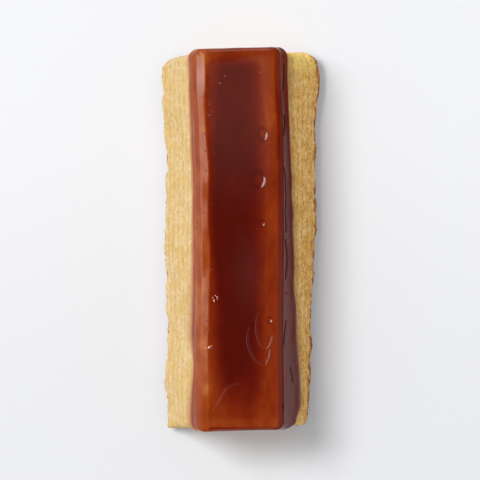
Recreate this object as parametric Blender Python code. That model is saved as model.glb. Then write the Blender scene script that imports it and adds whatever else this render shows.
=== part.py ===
"""A bar cut from a ring-shaped layer cake, with its narrow inner side dipped in caramel.

The bar lies along Y and stands on the ring's browned outer crust. Its layers are arcs about the ring's own
axis, which runs along Y above the bar. The edge of a layer is therefore a long line on each sloping cut face
and an arc on each end. The caramel pools on the hollow inner side, which faces up, and runs part of the way
down all four sides, furthest near one corner.

Both pieces are made the same way: a box lattice is cut into quads, and a rule carries each of its points to
its place. Lattice coordinates are across (-1 left, 1 right), along (-1 near end, 1 far end) and a depth or a
drop downwards.
"""

import math

import bmesh
import bpy
from mathutils import Vector, noise

MM = 0.001

# The ring that the bar was cut from
OUTER_RADIUS = 47.3 * MM
INNER_RADIUS = 25.0 * MM
LAYERS = 8
PRESSED_FLAT = 0.6 * MM
AXIS_HEIGHT = OUTER_RADIUS - PRESSED_FLAT

# The two ends, which slant a little across the bar
NEAR_END = -44.1 * MM
FAR_END = 43.8 * MM
NEAR_SLANT = 0.026
FAR_SLANT = 0.026
NEAR_SPLAY = 0.4 * MM  # the crust reaches this much further than the ridge
FAR_LEFT_SETBACK = 0.05  # share of the distance to the left by which the crust falls short there

# Half widths along the bar, as (y, half width) in millimetres: at the crust, then at the inner side's ridges
CRUST_LEFT = (
    (-44, 17.1),
    (-39, 17.5),
    (-32, 18.3),
    (-22, 17.0),
    (-9, 17.7),
    (0, 18.2),
    (24, 17.6),
    (34, 18.9),
)
CRUST_RIGHT = ((-44, 15.9), (-37, 16.5), (-17, 17.0), (-9, 17.8), (15, 18.1), (26, 18.1), (34, 18.8))
RIDGE_LEFT = ((-44, 9.3), (-30, 9.3), (-15, 9.1), (0, 9.1), (13, 9.2), (25, 9.6), (36, 10.1), (44, 10.2))
RIDGE_RIGHT = ((-44, 9.3), (-20, 9.1), (10, 9.3), (25, 9.1), (38, 8.4), (44, 8.4))

# Upright corner radii, at the ridge and at the crust
RIDGE_CORNER = 1.0 * MM
CRUST_CORNERS = {
    "near left": 1.2 * MM,
    "near right": 1.0 * MM,
    "far left": 2.2 * MM,
    "far right": 3.0 * MM,
}

# Relief of the cake: grooves between layers that wander up and down, broad swells, and crags on the crust
GROOVE_DEPTH = 0.24 * MM
GROOVE_HALF_WIDTH = 0.13  # share of one layer
GROOVE_LEAST = 0.75  # share of the full depth, before the ripple that varies it
GROOVE_VARIATION = 0.35
LAYER_WANDER = 0.32 * MM
WANDER_SIZE = 5 * MM
WANDER_SQUEEZE = 0.3  # plan distances count this much, so the waves run long
WANDER_FADE = 0.15  # depth share over which the wander dies out at the ridge and the crust
SWELL = 0.20 * MM
SWELL_SIZE = 7 * MM
CRAG_HEIGHT = 0.38 * MM
CRAG_SIZE = 3.6 * MM
CRAG_START = 0.90  # depth share
CRUST_EDGE = 0.975  # depth share where the side turns in under the crust
CRUST_TURN = 0.35 * MM

# Caramel: how far down each side it runs, as (y, share of the cake's depth)
RUN_LEFT = ((-45, 0.21), (-41, 0.26), (-29, 0.12), (-22, 0.23), (4, 0.16), (25, 0.18), (33, 0.14))
RUN_RIGHT = ((-45, 0.30), (-42, 0.48), (-38, 0.63), (-17, 0.44), (-9, 0.34), (4, 0.28), (24, 0.19))
RUN_WAVE = 0.018
RUN_WAVE_SIZE = 5 * MM
GAP = 0.35 * MM  # between the cake and the caramel
INNER_TURN = 0.12  # share of the run over which the skin's inner side turns from the side to the top

# How far the caramel stands out from the cake, down its run: ridge, side, a bead near the foot, then the lip
AT_RIDGE = 1.10 * MM
AT_SIDE = 1.00 * MM
AT_LIP = 0.60 * MM
SIDE_START = 0.4  # share of the run
BEAD = 0.15 * MM
BEAD_PLACE = 0.78
BEAD_WIDTH = 0.14
LIP_START = 0.86

# The top of the caramel, level but for a shallow sag and slow waves
PLATEAU_HEIGHT = 25.0 * MM
PLATEAU_HALF_WIDTH = 9 * MM
PLATEAU_SAG = 0.30 * MM
PLATEAU_WAVE = 0.12 * MM
PLATEAU_WAVE_SIZE = 11 * MM

# Its shoulders: how far in from each edge the top starts to curve down, and how far it comes down
LEFT_SHOULDER = (3.2 * MM, 1.5 * MM)
RIGHT_SHOULDER = (1.7 * MM, 1.0 * MM)
NEAR_SHOULDER = (0.8 * MM, 0.5 * MM)
FAR_SHOULDER = (1.6 * MM, 0.9 * MM)
SHOULDER_TURN = 0.95  # share of a quarter ellipse
SHOULDER_BLEND = 3  # how sharply two shoulders meet at a corner

RIPPLE_GAIN = 1.6
SEED_STEP = Vector((7.3, 0.0, -3.1))

# Lattices
LAYER_MARGIN = 0.22  # share of a layer between its edge and the next lattice line
CAKE_ACROSS_STEPS = 12
CAKE_ALONG_STEPS = 50
CARAMEL_ACROSS_STEPS = 12
CARAMEL_ALONG_STEPS = 34
ALONG_MARGIN = 0.02
CARAMEL_DROPS = (0.0, 0.22, 0.45, 0.68, LIP_START, 0.95, 1.0)
SMOOTH_ANGLE = math.radians(40)

CAKE_COLOUR = (0.80, 0.56, 0.24, 1)
CARAMEL_COLOUR = (0.14, 0.018, 0.007, 1)


def clear_scene():
    for item in list(bpy.data.objects):
        bpy.data.objects.remove(item, do_unlink=True)


def blend(low, high, share):
    return low + (high - low) * share


def ease(share):
    """0 to 1 with a soft start and end."""
    share = min(max(share, 0.0), 1.0)
    return share * share * (3 - 2 * share)


def value_along(stations, y):
    """The value at y on a line that eases from each (y, value) station to the next."""
    place = y / MM
    value = stations[0][1]
    for (start, low), (stop, high) in zip(stations, stations[1:]):
        if place > start:
            value = blend(low, high, ease((place - start) / (stop - start)))
    return value


def ripple(place, size, seed):
    """Smooth noise between about -1 and 1, with lumps of the given size."""
    return RIPPLE_GAIN * noise.noise(place / size + seed * SEED_STEP)


def corner_radius(x, y, depth):
    name = ("near " if y < 0 else "far ") + ("left" if x < 0 else "right")
    return blend(RIDGE_CORNER, CRUST_CORNERS[name], depth)


def round_off(first, second, radius):
    """Moves a point of a square edge onto its rounding; both are distances in from the two faces."""
    if first >= radius or second >= radius:
        return first, second
    from_first = radius - first
    from_second = radius - second
    pull = max(from_first, from_second) / math.hypot(from_first, from_second)
    return radius - from_first * pull, radius - from_second * pull


def section_point(across, along, depth, grow):
    """Place in plan of a lattice point in the grown outline at a depth, and how far in from side and end."""
    y = blend(NEAR_END, FAR_END, (along + 1) / 2)
    left = -blend(value_along(RIDGE_LEFT, y), value_along(CRUST_LEFT, y), depth) * MM - grow
    right = blend(value_along(RIDGE_RIGHT, y), value_along(CRUST_RIGHT, y), depth) * MM + grow
    x = blend(left, right, (across + 1) / 2)
    near = NEAR_END + NEAR_SLANT * x - NEAR_SPLAY * depth - grow
    far = FAR_END + FAR_SLANT * x + FAR_LEFT_SETBACK * depth * min(0.0, x) + grow
    y = blend(near, far, (along + 1) / 2)
    from_side = min(x - left, right - x)
    from_end = min(y - near, far - y)
    radius = corner_radius(x, y, depth) + grow
    inset_x, inset_y = round_off(from_side, from_end, radius)
    x -= math.copysign(inset_x - from_side, across)
    y -= math.copysign(inset_y - from_end, along)
    return x, y, from_side, from_end


def ring_height(x, radius):
    """Height of a point on the arc of this radius about the ring's axis."""
    return AXIS_HEIGHT - math.sqrt(radius**2 - x**2)


def layer_groove(place, depth):
    """How far the edge between two layers sinks into the surface."""
    layers_down = depth * LAYERS
    edge = round(layers_down)
    if edge in (0, LAYERS):
        return 0.0
    strength = GROOVE_LEAST + GROOVE_VARIATION * ripple(place, SWELL_SIZE, edge)
    from_edge = (layers_down - edge) / GROOVE_HALF_WIDTH
    return GROOVE_DEPTH * strength * math.exp(-(from_edge**2))


def layer_wander(place, depth):
    """How far a layer strays from its even radius, in long waves that differ from layer to layer."""
    stretched = Vector((WANDER_SQUEEZE * place.x, WANDER_SQUEEZE * place.y, place.z))
    fade = min(1.0, depth / WANDER_FADE, (1 - depth) / WANDER_FADE)
    return fade * LAYER_WANDER * ripple(stretched, WANDER_SIZE, 2)


def crust_crags(place, depth):
    """Lumps and bites of the browned crust, where it shows as the edge at the bottom of each side."""
    reach = ease((depth - CRAG_START) / (1 - CRAG_START))
    turn = max(0.0, (depth - CRUST_EDGE) / (1 - CRUST_EDGE))
    return reach * CRAG_HEIGHT * ripple(place, CRAG_SIZE, 3) - CRUST_TURN * turn


def cake_point(across, along, depth):
    x, y, _, _ = section_point(across, along, depth, 0.0)
    radius = blend(INNER_RADIUS, OUTER_RADIUS, depth)
    place = Vector((x, y, ring_height(x, radius)))
    relief = SWELL * ripple(place, SWELL_SIZE, 1) + crust_crags(place, depth) - layer_groove(place, depth)
    x, y, _, _ = section_point(across, along, depth, relief)
    radius += layer_wander(place, depth)
    return Vector((x, y, max(0.0, ring_height(x, radius))))


def caramel_run(across, along):
    """Share of the cake's depth that the caramel reaches at this place on the outline."""
    x, y, _, _ = section_point(across, along, 0.0, 0.0)
    run = blend(value_along(RUN_LEFT, y), value_along(RUN_RIGHT, y), (across + 1) / 2)
    return run + RUN_WAVE * ripple(Vector((x, y, 0.0)), RUN_WAVE_SIZE, 4)


def caramel_growth(drop):
    """How far the caramel stands out from the cake at a share of its run."""
    bead = BEAD * math.exp(-(((drop - BEAD_PLACE) / BEAD_WIDTH) ** 2))
    if drop <= LIP_START:
        return blend(AT_RIDGE, AT_SIDE, ease(drop / SIDE_START)) + bead
    turn = (drop - LIP_START) / (1 - LIP_START)
    return blend(AT_LIP, AT_SIDE + bead, math.sqrt(1 - turn**2))


def plateau_height(x, y):
    middle = math.cos(math.pi / 2 * min(1.0, abs(x) / PLATEAU_HALF_WIDTH))
    wave = PLATEAU_WAVE * ripple(Vector((x, y, 0.0)), PLATEAU_WAVE_SIZE, 5)
    return PLATEAU_HEIGHT - PLATEAU_SAG * middle + wave


def shoulder(inset, reach, fall):
    """How far the top has curved down at a distance in from an edge."""
    turn = SHOULDER_TURN * max(0.0, 1 - inset / reach)
    return fall * (1 - math.sqrt(1 - turn**2)) / (1 - math.sqrt(1 - SHOULDER_TURN**2))


def caramel_top(across, along):
    """Height of the caramel's top, or of its edge, above a lattice point."""
    x, y, from_side, from_end = section_point(across, along, 0.0, caramel_growth(0.0))
    side = shoulder(from_side, *(LEFT_SHOULDER if across < 0 else RIGHT_SHOULDER))
    end = shoulder(from_end, *(NEAR_SHOULDER if along < 0 else FAR_SHOULDER))
    return plateau_height(x, y) - (side**SHOULDER_BLEND + end**SHOULDER_BLEND) ** (1 / SHOULDER_BLEND)


def caramel_outer_point(across, along, drop):
    run = caramel_run(across, along)
    x, y, _, _ = section_point(across, along, run * drop, caramel_growth(drop))
    foot_x, _, _, _ = section_point(across, along, run, 0.0)
    foot = ring_height(foot_x, blend(INNER_RADIUS, OUTER_RADIUS, run))
    return Vector((x, y, blend(caramel_top(across, along), foot, drop)))


def caramel_inner_point(across, along, drop):
    depth = caramel_run(across, along) * drop
    x, y, _, _ = section_point(across, along, depth, GAP)
    cake_x, _, _, _ = section_point(across, along, depth, 0.0)
    height = ring_height(cake_x, blend(INNER_RADIUS, OUTER_RADIUS, depth))
    return Vector((x, y, height + GAP * max(0.0, 1 - drop / INNER_TURN)))


def even_cuts(steps):
    """Inner cuts that divide -1 to 1 evenly."""
    return [-1 + 2 * step / steps for step in range(1, steps)]


def edge_cuts(steps, margin):
    """Inner cuts that divide -1 to 1 evenly, with one more beside each end."""
    return [(1 - margin) * cut for cut in [-1] + even_cuts(steps - 2) + [1]]


def shoulder_cuts(steps):
    """Inner cuts from -1 to 1 that lie closer together towards both ends."""
    return [math.sin(math.pi / 2 * cut) for cut in even_cuts(steps)]


def lattice_box(across_cuts, along_cuts, depths):
    """A box cut into quads; its points hold lattice coordinates, with the depth as -z."""
    lattice = bmesh.new()
    bmesh.ops.create_cube(lattice, size=2)
    for corner in lattice.verts:
        corner.co.z = -depths[0] if corner.co.z > 0 else -depths[-1]
    cuts = [(Vector((1, 0, 0)), place) for place in across_cuts]
    cuts += [(Vector((0, 1, 0)), place) for place in along_cuts]
    cuts += [(Vector((0, 0, 1)), -depth) for depth in depths[1:-1]]
    for normal, place in cuts:
        everything = lattice.verts[:] + lattice.edges[:] + lattice.faces[:]
        bmesh.ops.bisect_plane(lattice, geom=everything, plane_co=normal * place, plane_no=normal, dist=1e-7)
    return lattice


def cake_depths():
    """Lattice depths: each layer's edge, with two more inside every layer and one at the crust's edge."""
    depths = [0.0]
    for layer in range(LAYERS):
        depths += [(layer + share) / LAYERS for share in (LAYER_MARGIN, 1 - LAYER_MARGIN, 1.0)]
    depths[-2] = CRUST_EDGE
    return depths


def add_object(name, shape, material):
    mesh = bpy.data.meshes.new(name)
    shape.to_mesh(mesh)
    shape.free()
    mesh.materials.append(material)
    mesh.shade_smooth()
    mesh.set_sharp_from_angle(angle=SMOOTH_ANGLE)
    piece = bpy.data.objects.new(name, mesh)
    bpy.context.scene.collection.objects.link(piece)
    return piece


def surface(name, colour, roughness, coat=0.0):
    material = bpy.data.materials.new(name)
    material.use_nodes = True
    shader = material.node_tree.nodes["Principled BSDF"]
    shader.inputs["Base Color"].default_value = colour
    shader.inputs["Roughness"].default_value = roughness
    shader.inputs["Metallic"].default_value = 0.0
    shader.inputs["Coat Weight"].default_value = coat
    material.diffuse_color = colour
    return material


def make_cake():
    shape = lattice_box(even_cuts(CAKE_ACROSS_STEPS), even_cuts(CAKE_ALONG_STEPS), cake_depths())
    for point in shape.verts:
        across, along, depth = point.co.x, point.co.y, -point.co.z
        point.co = cake_point(across, along, depth)
    return add_object("cake", shape, surface("crumb", CAKE_COLOUR, 0.8))


def make_caramel():
    """A closed skin: an outer and an inner cap of the same lattice, joined by a rim along the lower lip."""
    along_cuts = edge_cuts(CARAMEL_ALONG_STEPS, ALONG_MARGIN)
    shape = lattice_box(shoulder_cuts(CARAMEL_ACROSS_STEPS), along_cuts, CARAMEL_DROPS)
    underside = [face for face in shape.faces if face.normal.z < -0.5]
    bmesh.ops.delete(shape, geom=underside, context="FACES")
    outer = shape.verts[:]
    copied = bmesh.ops.duplicate(shape, geom=shape.verts[:] + shape.edges[:] + shape.faces[:])["geom"]
    inner = [item for item in copied if isinstance(item, bmesh.types.BMVert)]
    inner_faces = [item for item in copied if isinstance(item, bmesh.types.BMFace)]
    for points, rule in ((outer, caramel_outer_point), (inner, caramel_inner_point)):
        for point in points:
            across, along, drop = point.co.x, point.co.y, -point.co.z
            point.co = rule(across, along, drop)
    bmesh.ops.reverse_faces(shape, faces=inner_faces)
    rim = [edge for edge in shape.edges if edge.is_boundary]
    bmesh.ops.bridge_loops(shape, edges=rim)
    bmesh.ops.recalc_face_normals(shape, faces=shape.faces[:])
    return add_object("caramel_glaze", shape, surface("caramel", CARAMEL_COLOUR, 0.12, 1.0))


def main():
    clear_scene()
    make_cake()
    make_caramel()


main()
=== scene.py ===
"""Looks of the layer cake bar: fine surfaces, materials, light and camera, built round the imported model.

Both pieces are made on a fine box lattice, by the same rules as the solids that they replace, with finer
relief on top. Lattice coordinates are across (-1 left, 1 right), along (-1 near end, 1 far end) and a share
downwards. Everything is worked out on whole arrays of points.
"""

import math

import bmesh
import bpy
import numpy as np
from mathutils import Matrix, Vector, noise
from mathutils.bvhtree import BVHTree


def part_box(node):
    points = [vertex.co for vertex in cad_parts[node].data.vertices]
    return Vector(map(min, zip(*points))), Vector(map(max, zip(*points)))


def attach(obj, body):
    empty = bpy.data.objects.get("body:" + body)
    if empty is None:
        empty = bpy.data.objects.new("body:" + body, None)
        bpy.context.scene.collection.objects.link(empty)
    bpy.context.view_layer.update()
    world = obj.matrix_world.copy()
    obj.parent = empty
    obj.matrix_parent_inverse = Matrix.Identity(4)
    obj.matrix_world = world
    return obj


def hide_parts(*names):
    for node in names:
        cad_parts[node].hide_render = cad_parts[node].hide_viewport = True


MM = 0.001

# The ring that the bar was cut from, as in the solids
OUTER_RADIUS = 47.3 * MM
INNER_RADIUS = 25.0 * MM
LAYERS = 8
AXIS_HEIGHT = 46.7 * MM

# Outline of the bar, as in the solids; profiles are (y, half width) in millimetres
NEAR_END = -44.1 * MM
FAR_END = 43.8 * MM
NEAR_SLANT = 0.026
FAR_SLANT = 0.026
NEAR_SPLAY = 0.4 * MM
FAR_LEFT_SETBACK = 0.05
CRUST_LEFT = (
    (-44, 17.1),
    (-39, 17.5),
    (-32, 18.3),
    (-22, 17.0),
    (-9, 17.7),
    (0, 18.2),
    (24, 17.6),
    (34, 18.9),
)
CRUST_RIGHT = ((-44, 15.9), (-37, 16.5), (-17, 17.0), (-9, 17.8), (15, 18.1), (26, 18.1), (34, 18.8))
RIDGE_LEFT = ((-44, 9.3), (-30, 9.3), (-15, 9.1), (0, 9.1), (13, 9.2), (25, 9.6), (36, 10.1), (44, 10.2))
RIDGE_RIGHT = ((-44, 9.3), (-20, 9.1), (10, 9.3), (25, 9.1), (38, 8.4), (44, 8.4))
RIDGE_CORNER = 1.0 * MM
NEAR_CRUST_CORNERS = (1.2 * MM, 1.0 * MM)  # left, right
FAR_CRUST_CORNERS = (2.2 * MM, 4.0 * MM)  # the right one a little rounder than in the solids

# Broad relief of the cake, as in the solids but with shallower grooves, as colour marks the layers too
GROOVE_DEPTH = 0.14 * MM
GROOVE_HALF_WIDTH = 0.13
GROOVE_LEAST = 0.75
GROOVE_VARIATION = 0.35
LAYER_WANDER = 0.32 * MM
WANDER_SIZE = 5 * MM
WANDER_SQUEEZE = 0.3
WANDER_FADE = 0.15
SWELL = 0.20 * MM
SWELL_SIZE = 7 * MM
CRAG_HEIGHT = 0.38 * MM
CRAG_SIZE = 3.6 * MM
CRAG_START = 0.90
CRUST_EDGE = 0.975
CRUST_TURN = 0.35 * MM

# Finer relief of the cake
CORE_INSET = 0.5 * MM  # under the caramel, where the cake's surface doesn't show
CORE_SHARE = 0.85
GRAIN_LEFT, GRAIN_RIGHT = 0.55, 0.85  # the right cut face is the more crumbly one
GRAIN_HEIGHT = 0.12 * MM
GRAIN_SIZE = 0.8 * MM
GRAIN_SQUEEZE = (1.0, 0.55, 1.0)  # the crumb is drawn out a little along the layers
PORE_DEPTH = 0.13 * MM
PORE_SIZE = 1.5 * MM
PORE_REACH = 0.30
NIBBLE_HEIGHT = 0.16 * MM  # small lumps along the crust's edge
NIBBLE_SIZE = 1.1 * MM
WRINKLE_HEIGHT = 0.14 * MM  # on the crust's underside
WRINKLE_SIZE = 2.4 * MM

# Caramel, as in the solids but for a lip that meets the cake, a top that lies a little lower, and a strip
# along the left that leans outwards; a run is given as (y, share of the cake's depth)
RUN_LEFT = ((-45, 0.21), (-41, 0.26), (-29, 0.12), (-22, 0.23), (4, 0.16), (25, 0.18), (33, 0.14))
RUN_RIGHT = ((-45, 0.30), (-42, 0.48), (-38, 0.63), (-17, 0.44), (-9, 0.34), (4, 0.28), (24, 0.19))
RUN_WAVE = 0.018
RUN_WAVE_SIZE = 5 * MM
AT_RIDGE = 1.10 * MM
AT_SIDE = 1.00 * MM
AT_LIP = -0.30 * MM
SIDE_START = 0.4
BEAD = 0.15 * MM
BEAD_PLACE = 0.78
BEAD_WIDTH = 0.14
LIP_START = 0.86
PLATEAU_HEIGHT = 24.92 * MM
PLATEAU_HALF_WIDTH = 9 * MM
PLATEAU_SAG = 0.30 * MM
PLATEAU_WAVE = 0.12 * MM
PLATEAU_WAVE_SIZE = 11 * MM
LEFT_SHOULDER = (1.0 * MM, 0.60 * MM)
LEFT_FACET = (  # how far in the leaning strip reaches, as (y, reach) in millimetres
    (-44, 3.10),
    (-33, 3.00),
    (-24, 2.75),
    (-14, 2.95),
    (-5, 3.15),
    (5, 2.75),
    (18, 3.00),
    (28, 2.60),
    (37, 3.10),
)
LEFT_FACET_SLOPE = 0.27
RIGHT_SHOULDER = (1.7 * MM, 1.0 * MM)
NEAR_SHOULDER = (0.8 * MM, 0.5 * MM)
FAR_SHOULDER = (1.6 * MM, 0.9 * MM)
SHOULDER_TURN = 0.95
SHOULDER_BLEND = 3

# Finer relief of the caramel
UNDERSIDE = -0.15 * MM  # its hidden inner side, just inside the cake
UNDERSIDE_TOP = 0.75  # share of the hidden side that lies under the top
TOP_WAVES = 0.55  # the top is smoother than the sides
SHORT_WAVE = 0.030 * MM
SHORT_WAVE_SIZE = 3.2 * MM
WIDE_WAVE = 0.05 * MM
WIDE_WAVE_SIZE = 6 * MM

# Dents in the top, as (x, y, half width, half length, depth) in millimetres, steepest on the near right
DENTS = (
    (5.2, 24.5, 1.2, 1.8, 0.17),
    (4.0, 13.8, 1.9, 2.2, 0.16),
    (5.0, 3.5, 0.7, 0.9, 0.20),
    (6.8, -19.2, 0.7, 0.9, 0.14),
)
DENT_WALL = 0.38 * MM
DENT_STEEP_TOWARDS = math.radians(-35)
DENT_LEAST = 0.15  # share of the depth on the soft side
DENT_RIM, DENT_RIM_WIDTH = 0.85, 0.2  # where the caramel lies thicker, as shares of the way out
DENT_MIDDLE, DENT_MIDDLE_WIDTH = 0.5, 0.45  # how much thinner it lies in the middle, and how far out

# Raised threads of caramel on the top, each a half width and a rise in millimetres and a route of (x, y)
THREADS = (
    (0.36, 0.21, ((7.6, -22.7), (7.1, -24.9), (6.1, -26.0))),
    (0.40, 0.03, ((6.1, -26.0), (4.9, -25.1), (4.2, -23.4), (3.8, -21.0), (4.2, -17.3))),
    (0.36, 0.19, ((7.0, -25.8), (6.8, -28.1), (5.9, -29.8))),
    (0.40, 0.03, ((5.9, -29.8), (4.7, -29.5), (3.3, -28.1), (2.3, -26.2), (1.7, -23.4), (2.1, -20.8))),
    (0.40, 0.04, ((-6.7, -41.0), (-4.8, -38.1), (-2.9, -35.2), (-1.2, -34.3), (0.0, -34.3))),
)
THREAD_STEP = 0.15 * MM
THREAD_LEAST_RINGS = 6
THREAD_SIDES = 10
THREAD_TIP = 0.02  # a thread tapers as half a wave that starts and stops this far in, in radians
THREAD_PALENESS = 0.012

# Folds down the right side, as (x, y) in millimetres
FOLDS = (
    ((10.25, 41.0), (10.3, 39.0), (10.2, 37.0), (10.0, 35.0)),
    ((10.3, 29.0), (10.45, 27.5), (10.3, 26.0), (10.1, 24.2)),
    (
        (10.2, 16.7),
        (10.5, 15.0),
        (10.6, 12.7),
        (10.7, 10.3),
        (10.7, 8.6),
        (10.6, 6.3),
        (10.75, 2.9),
        (10.6, 1.6),
    ),
    ((10.5, -0.3), (10.8, -2.3), (11.0, -4.2), (10.95, -6.0), (10.75, -8.0), (10.6, -9.5)),
    ((10.7, -12.7), (10.7, -13.0)),
    ((10.7, -19.3), (10.6, -20.7), (10.4, -22.0), (10.2, -24.8)),
    ((11.7, -30.4), (12.0, -32.0), (12.3, -33.8)),
    ((10.1, -39.1), (10.1, -40.0)),
)
FOLD_DEPTH = 0.08 * MM
FOLD_WIDTH = 0.17 * MM
FOLD_LIP = 0.02 * MM
FOLD_LIP_WIDTH = 0.55 * MM
CURVE_PIECES = 8

# Bubbles set in the caramel, as (x, y, radius) in millimetres
BUBBLES = (
    (-3.6, 38.3, 0.26),
    (-4.8, 36.6, 0.30),
    (4.7, 39.2, 0.26),
    (-7.3, 31.7, 0.22),
    (-7.3, 29.1, 0.24),
    (-8.3, 24.6, 0.30),
    (-8.1, 20.6, 0.28),
    (-8.0, 15.9, 0.30),
    (-10.4, 2.5, 0.34),
    (-8.5, 6.0, 0.26),
    (-8.5, -8.8, 0.28),
    (-6.9, -7.2, 0.24),
    (-7.8, -19.4, 0.28),
    (-7.6, -21.3, 0.28),
)
SMALL_BUBBLES = 36  # along the left edge of the top
SMALL_BUBBLE_ACROSS = (-8.9, -6.0)
SMALL_BUBBLE_ALONG = (-43, 43)
SMALL_BUBBLE_SIZES = (0.07, 0.15)
BUBBLE_SQUASH = 0.55
PAINTED_LIT_SIDE = np.array((0.7, -0.7, 0.0))  # the near right of each bubble is painted lighter and its far left darker: painted light and shade
BRIGHT_FROM, BRIGHT_SPAN = -0.3, 0.9  # in bubble radii towards the bright side
# painted shade and painted light on each bubble
BUBBLE_PAINTED_SHADE, BUBBLE_PAINTED_LIGHT = 0.5, 0.22

# Two little heaps of pale froth, as (x, y, radius) in millimetres
FROTH = (
    (-6.21, -14.49, 0.24),
    (-5.44, -13.76, 0.20),
    (-5.86, -13.41, 0.15),
    (-6.45, -13.88, 0.17),
    (-5.39, -14.24, 0.13),
    (-6.09, -14.85, 0.14),
    (-7.34, -25.60, 0.34),
    (-6.80, -25.27, 0.17),
    (-8.05, -25.74, 0.15),
)
FROTH_LUMPS = 0.1
FROTH_SQUASH = 0.7
FROTH_PALENESS = 0.7
DETAIL_GLOSS = 0.7  # of bubbles, froth and threads
BALL_DETAIL, CRUMB_DETAIL = 2, 1  # how finely a bubble or a bit of froth, and a crumb, are divided

# Loose crumbs on the cut faces and along the crust
CRUMBS = 2000
CRUMB_SIZES = (0.10 * MM, 0.23 * MM)
CRUMB_JITTER = 0.3
CRUMB_SQUASH = 0.8
CRUMB_ON_RIGHT, CRUMB_ON_LEFT = 0.6, 0.25  # the rest lie on the ends
CRUMB_REACH_ACROSS, CRUMB_REACH_ALONG = 0.98, 0.985
CRUMB_BELOW_LIP = 0.04  # depth share
CRUMB_LOWEST = 0.985  # depth share
CRUMB_SPREAD = 0.8  # below 1, more of them lie low
CRUMB_LAYER = 3.5  # the middle of a layer, clear of the lines between layers
CRUMB_SIDE_SHADE = (0.8, 1.0)
BROWNED_FROM = 0.96  # depth share
BROWNED_SHARE = 0.6
SEED = 11

RIPPLE_GAIN = 1.6
SEED_STEP = np.array((7.3, 0.0, -3.1))  # how far one seed's noise lies from the next one's

# Camera: far above, so that the sides hardly show
CAMERA_DISTANCE = 2.5
PHOTO_WIDTH = 480  # pixels
PIXELS_PER_MM = 4.21  # at the floor
FRAME_WIDTH = PHOTO_WIDTH / PIXELS_PER_MM * MM
CAMERA_X, CAMERA_Y = -0.05 * MM, -0.33 * MM
SENSOR = 36.0  # millimetres


def blend(low, high, share):
    return low + (high - low) * share


def ease(share):
    """0 to 1 with a soft start and end."""
    share = np.clip(share, 0.0, 1.0)
    return share * share * (3 - 2 * share)


def value_along(stations, y):
    """The value at y on a line that eases from each (y, value) station to the next."""
    places, values = np.array(stations, float).T
    place = y / MM
    piece = np.clip(np.searchsorted(places, place) - 1, 0, len(places) - 2)
    share = ease((place - places[piece]) / (places[piece + 1] - places[piece]))
    return blend(values[piece], values[piece + 1], share)


def ripple(places, size, seed):
    """Smooth noise between about -1 and 1, with lumps of the given size; points may differ in their seed."""
    moved = places / size + np.multiply.outer(np.broadcast_to(seed, len(places)), SEED_STEP)
    return RIPPLE_GAIN * np.array([noise.noise(place) for place in moved.tolist()])


def pores(places, size, reach):
    """1 at the middle of scattered round pores, 0 away from them."""
    nearest = np.array([noise.voronoi(place)[0][0] for place in (places / size).tolist()])
    return ease(1 - nearest / reach)


def corner_radius(x, y, depth):
    near = np.where(x < 0, *NEAR_CRUST_CORNERS)
    far = np.where(x < 0, *FAR_CRUST_CORNERS)
    return blend(RIDGE_CORNER, np.where(y < 0, near, far), depth)


def round_off(first, second, radius):
    """Moves points of a square edge onto its rounding; both are distances in from the two faces."""
    from_first = radius - first
    from_second = radius - second
    inside = (from_first > 0) & (from_second > 0)
    length = np.where(inside, np.hypot(from_first, from_second), 1.0)
    pull = np.maximum(from_first, from_second) / length
    return (
        np.where(inside, radius - from_first * pull, first),
        np.where(inside, radius - from_second * pull, second),
    )


def section_points(across, along, depth, grow):
    """Places in plan of lattice points in the grown outline at a depth, and how far in from side and end."""
    y = blend(NEAR_END, FAR_END, (along + 1) / 2)
    left = -blend(value_along(RIDGE_LEFT, y), value_along(CRUST_LEFT, y), depth) * MM - grow
    right = blend(value_along(RIDGE_RIGHT, y), value_along(CRUST_RIGHT, y), depth) * MM + grow
    x = blend(left, right, (across + 1) / 2)
    near = NEAR_END + NEAR_SLANT * x - NEAR_SPLAY * depth - grow
    far = FAR_END + FAR_SLANT * x + FAR_LEFT_SETBACK * depth * np.minimum(0.0, x) + grow
    y = blend(near, far, (along + 1) / 2)
    from_side = np.minimum(x - left, right - x)
    from_end = np.minimum(y - near, far - y)
    inset_x, inset_y = round_off(from_side, from_end, corner_radius(x, y, depth) + grow)
    x = x - np.copysign(inset_x - from_side, across)
    y = y - np.copysign(inset_y - from_end, along)
    return x, y, from_side, from_end


def ring_height(x, radius):
    """Height of a point on the arc of this radius about the ring's axis."""
    return AXIS_HEIGHT - np.sqrt(radius**2 - x**2)


def layer_groove(places, depth):
    """How far the edge between two layers sinks into the surface."""
    layers_down = depth * LAYERS
    edge = np.round(layers_down)
    strength = GROOVE_LEAST + GROOVE_VARIATION * ripple(places, SWELL_SIZE, edge)
    from_edge = (layers_down - edge) / GROOVE_HALF_WIDTH
    sunk = GROOVE_DEPTH * strength * np.exp(-(from_edge**2))
    return np.where((edge == 0) | (edge == LAYERS), 0.0, sunk)


def layer_wander(places, depth):
    """How far a layer strays from its even radius, in long waves that differ from layer to layer."""
    fade = np.minimum(1.0, np.minimum(depth, 1 - depth) / WANDER_FADE)
    return fade * LAYER_WANDER * ripple(places * (WANDER_SQUEEZE, WANDER_SQUEEZE, 1.0), WANDER_SIZE, 2)


def crust_crags(places, depth):
    """Lumps and bites of the browned crust, where it shows as the edge at the bottom of each side."""
    reach = ease((depth - CRAG_START) / (1 - CRAG_START))
    turn = np.maximum(0.0, (depth - CRUST_EDGE) / (1 - CRUST_EDGE))
    lumps = CRAG_HEIGHT * ripple(places, CRAG_SIZE, 3) + NIBBLE_HEIGHT * ripple(places, NIBBLE_SIZE, 6)
    return reach * lumps - CRUST_TURN * turn


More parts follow.
